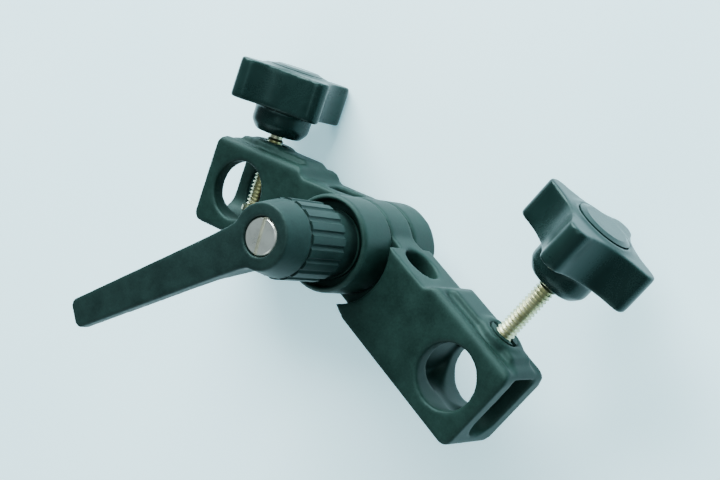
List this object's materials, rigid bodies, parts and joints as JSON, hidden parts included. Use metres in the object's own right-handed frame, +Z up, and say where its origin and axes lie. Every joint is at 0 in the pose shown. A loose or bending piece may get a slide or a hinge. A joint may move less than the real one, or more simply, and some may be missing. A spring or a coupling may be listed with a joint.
{
  "type": "double-ended swivel clamp bracket",
  "caption": "Swivel tilt bracket: cast socket arms on a stacked-disc hinge, locked by a lift-and-turn lever, each with a star-knob clamp screw.",
  "frame": {"origin": "centre line of the right arm's cross bore, at its lower mouth", "axes": "+X along the right arm to its open end, +Y towards the knob side, +Z up the hinge towards the lever"},
  "size_m": [0.1306, 0.1075, 0.0678],
  "materials": {
    "cast_paint": "satin",
    "lever_paint": "satin",
    "knob_plastic": "satin",
    "zinc": "satin",
    "nickel": "bright",
    "steel": "satin",
    "fibre": "matte"
  },
  "bodies": {
    "base": {"right_arm": "cast_paint", "right_insert": "zinc", "friction_washer": "fibre", "thrust_flange": "cast_paint", "thrust_washer": "steel"},
    "left": {"left_arm": "cast_paint", "left_insert": "zinc", "hinge_bolt": "steel", "bolt_washer": "steel"},
    "nut": {"clamp_nut": "steel", "lever_screw": "nickel", "lever_spring": "steel"},
    "handle": {"lever": "lever_paint", "grip_ring": "lever_paint"},
    "right_pad": {"right_tip": "zinc"},
    "right_grip": {"right_screw": "zinc", "right_knob": "knob_plastic", "right_cap": "knob_plastic"},
    "left_pad": {"left_tip": "zinc"},
    "left_grip": {"left_screw": "zinc", "left_knob": "knob_plastic", "left_cap": "knob_plastic"}
  },
  "joints": [
    {"name": "arm_swing", "type": "hinge", "parent": "base", "child": "left", "pos_m": [-0.0445, 0, 0], "axis": [0, 0, 1], "range_deg": [-70, 48]},
    {"name": "nut_turn", "type": "hinge", "parent": "left", "child": "nut", "pos_m": [-0.0445, 0, 0.03], "axis": [0, 0, 1], "range_deg": [-20, 100]},
    {"name": "lever_lift", "type": "slide", "parent": "nut", "child": "handle", "axis": [0, 0, 1], "range_m": [0, 0.0053], "stiffness_N_per_m": 900, "springref_m": -0.003, "deforming": ["lever_spring"]},
    {"name": "right_feed", "type": "slide", "parent": "base", "child": "right_pad", "axis": [0, -1, 0], "range_m": [0, 0.016]},
    {"name": "right_turn", "type": "hinge", "parent": "right_pad", "child": "right_grip", "pos_m": [0, 0, 0.00965], "axis": [0, -1, 0], "range_deg": [0, 5446]},
    {"name": "left_feed", "type": "slide", "parent": "left", "child": "left_pad", "axis": [0.4115, -0.9114, 0], "range_m": [-0.0147, 0.0003]},
    {"name": "left_turn", "type": "hinge", "parent": "left_pad", "child": "left_grip", "pos_m": [-0.08506, -0.01831, -0.00085], "axis": [0.4115, -0.9114, 0], "range_deg": [-5002, 103]}
  ],
  "couplings": [
    {"joint": "right_turn", "follows": "right_feed", "rad_per_m": 5938.7},
    {"joint": "left_turn", "follows": "left_feed", "rad_per_m": 5938.7}
  ]
}
